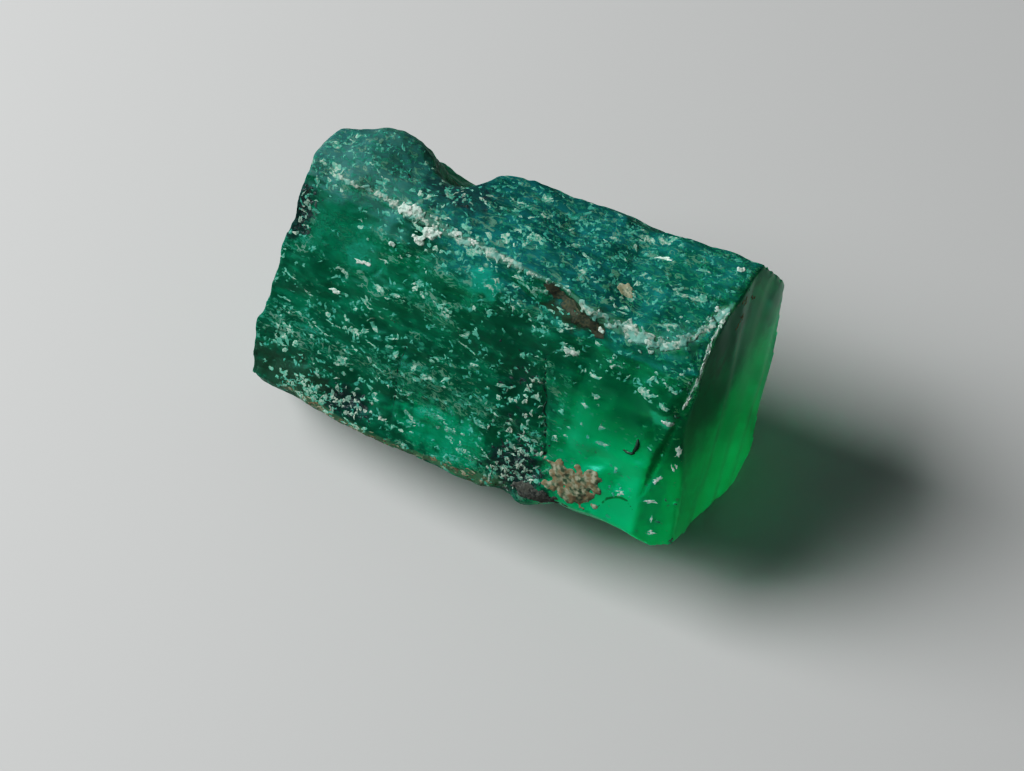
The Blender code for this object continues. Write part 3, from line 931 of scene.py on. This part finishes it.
# -----------------------------------------------------------------------------
# Dark mica: black plates of the schist the crystal grew in, still held in five places of its
# skin, with thin silvery hairs of mica standing between them. Both are grown into the stone.
# -----------------------------------------------------------------------------

black_mica = grain_material(
    "black_mica", (0.05, 0.08, 0.07), (0.006, 0.012, 0.011), (0.02, 0.045, 0.045), 0.5
)
silver_mica = grain_material(
    "silver_mica", (0.42, 0.48, 0.39), (0.06, 0.13, 0.10), (0.13, 0.25, 0.19), 0.6
)

# (centre, half-axes, plates) in millimetres
MICA_PATCHES = (
    ((3.2, -5.3, 6.0), (1.2, 0.5, 1.5), 210),
    ((-9.3, -1.2, 11.5), (0.5, 0.8, 1.5), 80),
    ((-5.0, -5.5, 5.1), (1.3, 0.4, 0.8), 60),
    ((-2.9, 1.4, 13.4), (1.3, 0.9, 0.5), 26),
    ((2.4, -3.4, 9.0), (1.0, 1.0, 2.2), 36),
)
HAIR_PATCHES = (
    ((3.2, -5.3, 6.0), (1.4, 0.5, 1.8), 75),
    ((-9.3, -1.2, 11.6), (0.4, 0.6, 1.2), 14),
    ((-5.0, -5.5, 5.1), (1.7, 0.4, 0.9), 42),
    ((-2.9, 1.4, 13.4), (1.3, 0.9, 0.5), 14),
    ((2.6, -3.9, 8.0), (1.0, 1.0, 2.0), 20),
)
grains(
    "dark_mica", thin_flake, heaps(MICA_PATCHES),
    black_mica, length=(0.14, 0.60), width=(0.08, 0.34), thick=(0.03, 0.08),
    turn=1.0, jag=0.45, sunk=0.35, bend=1.5,
)
grains(
    "mica_hairs", thin_flake, heaps(HAIR_PATCHES),
    silver_mica, length=(0.14, 0.62), width=(0.07, 0.32), thick=(0.03, 0.08),
    turn=1.4, jag=0.4, sunk=0.0, bend=2.4,
)

# -----------------------------------------------------------------------------
# Crust: what is left of the rock around the crystal. A grey lump of schist and a scab of tan,
# weathered rock cling to the lower edge of the front beside the mica, a small flat sandy scab
# lies on the top, and a few specks of the same sand on the right break.
# -----------------------------------------------------------------------------

schist = grain_material(
    "grey_schist", (0.10, 0.105, 0.09), (0.015, 0.02, 0.018), (0.05, 0.052, 0.042), 0.8
)
tan_rock = grain_material(
    "tan_crust", (0.28, 0.28, 0.20), (0.045, 0.085, 0.05), (0.16, 0.13, 0.08), 0.8, grain=5.0
)
sandy_rock = grain_material(
    "sandy_rock", (0.46, 0.47, 0.33), (0.16, 0.22, 0.15), (0.32, 0.31, 0.20), 0.8
)

# (centre, half-axes, chips) in millimetres
SCHIST_HEAP = ((4.4, -5.75, 5.3), (1.1, 0.3, 0.4), 70)
CRUST_HEAPS = (
    ((5.3, -5.0, 6.7), (0.6, 0.3, 0.3), 90), ((6.4, -4.9, 6.9), (0.45, 0.3, 0.4), 90),
    ((5.8, -5.35, 6.1), (0.75, 0.3, 0.4), 90),
)
SCAB_HEAP = ((5.15, 0.45, 13.38), (0.30, 0.22, 0.1), 34)
SPECK_HEAPS = (
    ((9.63, 2.4, 13.0), (0.1, 0.2, 0.25), 6), ((9.7, 2.1, 12.4), (0.1, 0.15, 0.2), 4),
    ((9.7, 1.75, 12.25), (0.1, 0.15, 0.15), 3), ((9.67, 3.2, 12.3), (0.1, 0.3, 0.3), 3),
)
schist_lump = grains(
    "schist_lump", torn_plate, heap(*SCHIST_HEAP),
    schist, length=(0.24, 0.75), width=(0.2, 0.5), thick=(0.10, 0.30),
    turn=0.9, jag=0.35, sunk=0.2,
)
fuse(schist_lump, grid=0.05, rounds=1)

tan_crust = grains(
    "tan_crust", torn_plate, heaps(CRUST_HEAPS),
    tan_rock, length=(0.36, 0.85), width=(0.30, 0.62), thick=(0.10, 0.34),
    turn=0.9, jag=0.1, sunk=0.3,
)
fuse(tan_crust, grid=0.05, rounds=6)
relief(tan_crust, "crust_grain", size=0.3 * MM, depth=0.12 * MM, noise_depth=2)

top_scab = grains(
    "top_scab", torn_plate, heap(*SCAB_HEAP),
    sandy_rock, length=(0.34, 0.56), width=(0.26, 0.42), thick=(0.06, 0.10),
    turn=0.4, jag=0.12, sunk=0.25,
)
fuse(top_scab, grid=0.04, rounds=3)

grains(
    "end_specks", torn_plate, heaps(SPECK_HEAPS),
    sandy_rock, length=(0.14, 0.36), width=(0.10, 0.24), thick=(0.05, 0.10),
    turn=1.0, upright=True, jag=0.4, sunk=0.2,
)

# -----------------------------------------------------------------------------
# Film and scale: a thin grey-brown film of iron stain left on the face under the ridge, and thin
# scales of the tan rock that stick along the lower rim of the front.
# -----------------------------------------------------------------------------

rust = grain_material(
    "brown_film", (0.085, 0.085, 0.05), (0.02, 0.04, 0.027), (0.05, 0.055, 0.035), 0.75
)
BROWN_LINE = (
    (2.2, -0.75, 13.2, 0.16), (3.2, -1.0, 12.95, 0.30), (4.1, -1.2, 12.75, 0.34),
    (5.0, -1.4, 12.5, 0.22),
)
BROWN_CHIPS, RIM_SCALES = 70, 120
brown_film = grains(
    "brown_film", torn_plate,
    nearest_on(stone, along_line(laid_on(stone, BROWN_LINE), BROWN_CHIPS, spread=0.55)),
    rust, length=(0.34, 0.80), width=(0.22, 0.5), thick=(0.08, 0.12),
    turn=0.6, jag=0.3, sunk=0.3,
)
fuse(brown_film, grid=0.045, rounds=4)

grains(
    "rim_scale", thin_flake, nearest_on(stone, along_line(lower_rim, RIM_SCALES, spread=0.7)),
    tan_rock, length=(0.14, 0.5), width=(0.06, 0.2), thick=(0.03, 0.08),
    turn=0.3, jag=0.4, bend=1.2,
)

# -----------------------------------------------------------------------------
# Cracks and inclusions: healed cracks filled with dark grit, and a small check of black mineral
# standing in the clear stone.
# -----------------------------------------------------------------------------

grit = grain_material(
    "crack_grit", (0.01, 0.07, 0.04), (0.002, 0.02, 0.012), (0.006, 0.05, 0.03), 0.5
)
CHECK_LONG = ((7.86, -3.4, 9.35, 0.1), (7.95, -3.6, 9.1, 0.1), (7.85, -3.8, 8.85, 0.1))
CHECK_SHORT = ((7.9, -3.78, 8.85, 0.1), (7.65, -3.85, 8.7, 0.1), (7.42, -3.8, 8.75, 0.1))


SEAM_SHAKE = 0.02 * MM


def seam(name, line, thick, sunk):
    """A thin tapering thread along a laid line, sunk a little in the skin."""
    steps = len(line)
    route = line[:, :3] + chance.normal(0.0, SEAM_SHAKE, (steps, 3))
    spots, outward = nearest_on(stone, route)
    spots = spots - outward * sunk * MM
    curve = bpy.data.curves.new(name, "CURVE")
    curve.dimensions = "3D"
    curve.bevel_depth = thick * MM
    curve.bevel_resolution = 1
    curve.use_fill_caps = True
    spline = curve.splines.new("POLY")
    spline.points.add(steps - 1)
    for number, (point, spot) in enumerate(zip(spline.points, spots)):
        point.co = (*spot, 1.0)
        point.radius = 0.25 + math.sin(math.pi * (number + 0.5) / steps) * chance.uniform(0.6, 1.1)
    thread = bpy.data.objects.new(name, curve)
    bpy.context.scene.collection.objects.link(thread)
    only(thread)
    bpy.ops.object.convert(target="MESH")
    weld(thread, 0.001 * MM)
    thread.data.materials.append(grit)
    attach(thread, "root")


seam("cross_crack", cross_crack, thick=0.05, sunk=0.05)
seam("faint_crack", faint_crack, thick=0.03, sunk=0.03)
seam("check_inclusion_long", laid_on(stone, CHECK_LONG), thick=0.08, sunk=0.0)
seam("check_inclusion_short", laid_on(stone, CHECK_SHORT), thick=0.06, sunk=0.0)

# -----------------------------------------------------------------------------
# The stage: a pale plain floor, one soft window light at the left, a dim even room and the
# camera. None of it belongs to the crystal.
# -----------------------------------------------------------------------------

GROUND_DROP = 0.02 * MM
bpy.ops.object.select_all(action="DESELECT")
bpy.ops.mesh.primitive_plane_add(size=2.0, location=(0, 0, -GROUND_DROP))
ground = bpy.context.object
ground.name = "ground"
paper, tree, shader, _ = new_material("pale_ground")
shader.inputs["Base Color"].default_value = (0.51, 0.50, 0.485, 1.0)
shader.inputs["Roughness"].default_value = 0.85
ground.data.materials.append(paper)


def toward(azimuth, elevation):
    """The direction of a place seen at this azimuth and elevation, where azimuth 0 is at -Y."""
    turn, lift = math.radians(azimuth), math.radians(elevation)
    out = math.cos(lift)
    return Vector((math.sin(turn) * out, -math.cos(turn) * out, math.sin(lift)))


def soft_light(name, azimuth, elevation, distance, size, power, colour):
    light = bpy.data.lights.new(name, "AREA")
    light.energy, light.size, light.color = power, size, colour
    lamp = bpy.data.objects.new(name, light)
    lamp.location = toward(azimuth, elevation) * distance
    lamp.rotation_euler = toward(azimuth, elevation).to_track_quat("Z", "Y").to_euler()
    bpy.context.scene.collection.objects.link(lamp)


soft_light(
    "window", azimuth=288, elevation=44, distance=0.25, size=0.15, power=0.92,
    colour=(0.95, 0.98, 1.0),
)

world = bpy.data.worlds.new("room")
world.use_nodes = True
background = world.node_tree.nodes["Background"]
background.inputs["Color"].default_value = (0.90, 0.96, 1.0, 1.0)
background.inputs["Strength"].default_value = 0.14
bpy.context.scene.world = world

TONE_POINTS = ((0.06, 0.028), (0.20, 0.18), (0.50, 0.52))
tones = bpy.context.scene.view_settings
tones.view_transform = "Standard"
tones.use_curve_mapping = True
for tone_in, tone_out in TONE_POINTS:
    tones.curve_mapping.curves[3].points.new(tone_in, tone_out)
tones.curve_mapping.update()

VIEW_AZIMUTH, VIEW_ELEVATION = 28, 59
VIEW_DISTANCE = 92 * MM
VIEW_TARGET = Vector((1.373, -2.293, 6.93)) * MM

lens = bpy.data.cameras.new("camera")
lens.lens = 75
lens.clip_start = 0.005
camera = bpy.data.objects.new("camera", lens)
camera.location = VIEW_TARGET + toward(VIEW_AZIMUTH, VIEW_ELEVATION) * VIEW_DISTANCE
camera.rotation_euler = toward(VIEW_AZIMUTH, VIEW_ELEVATION).to_track_quat("Z", "Y").to_euler()
bpy.context.scene.collection.objects.link(camera)
bpy.context.scene.camera = camera
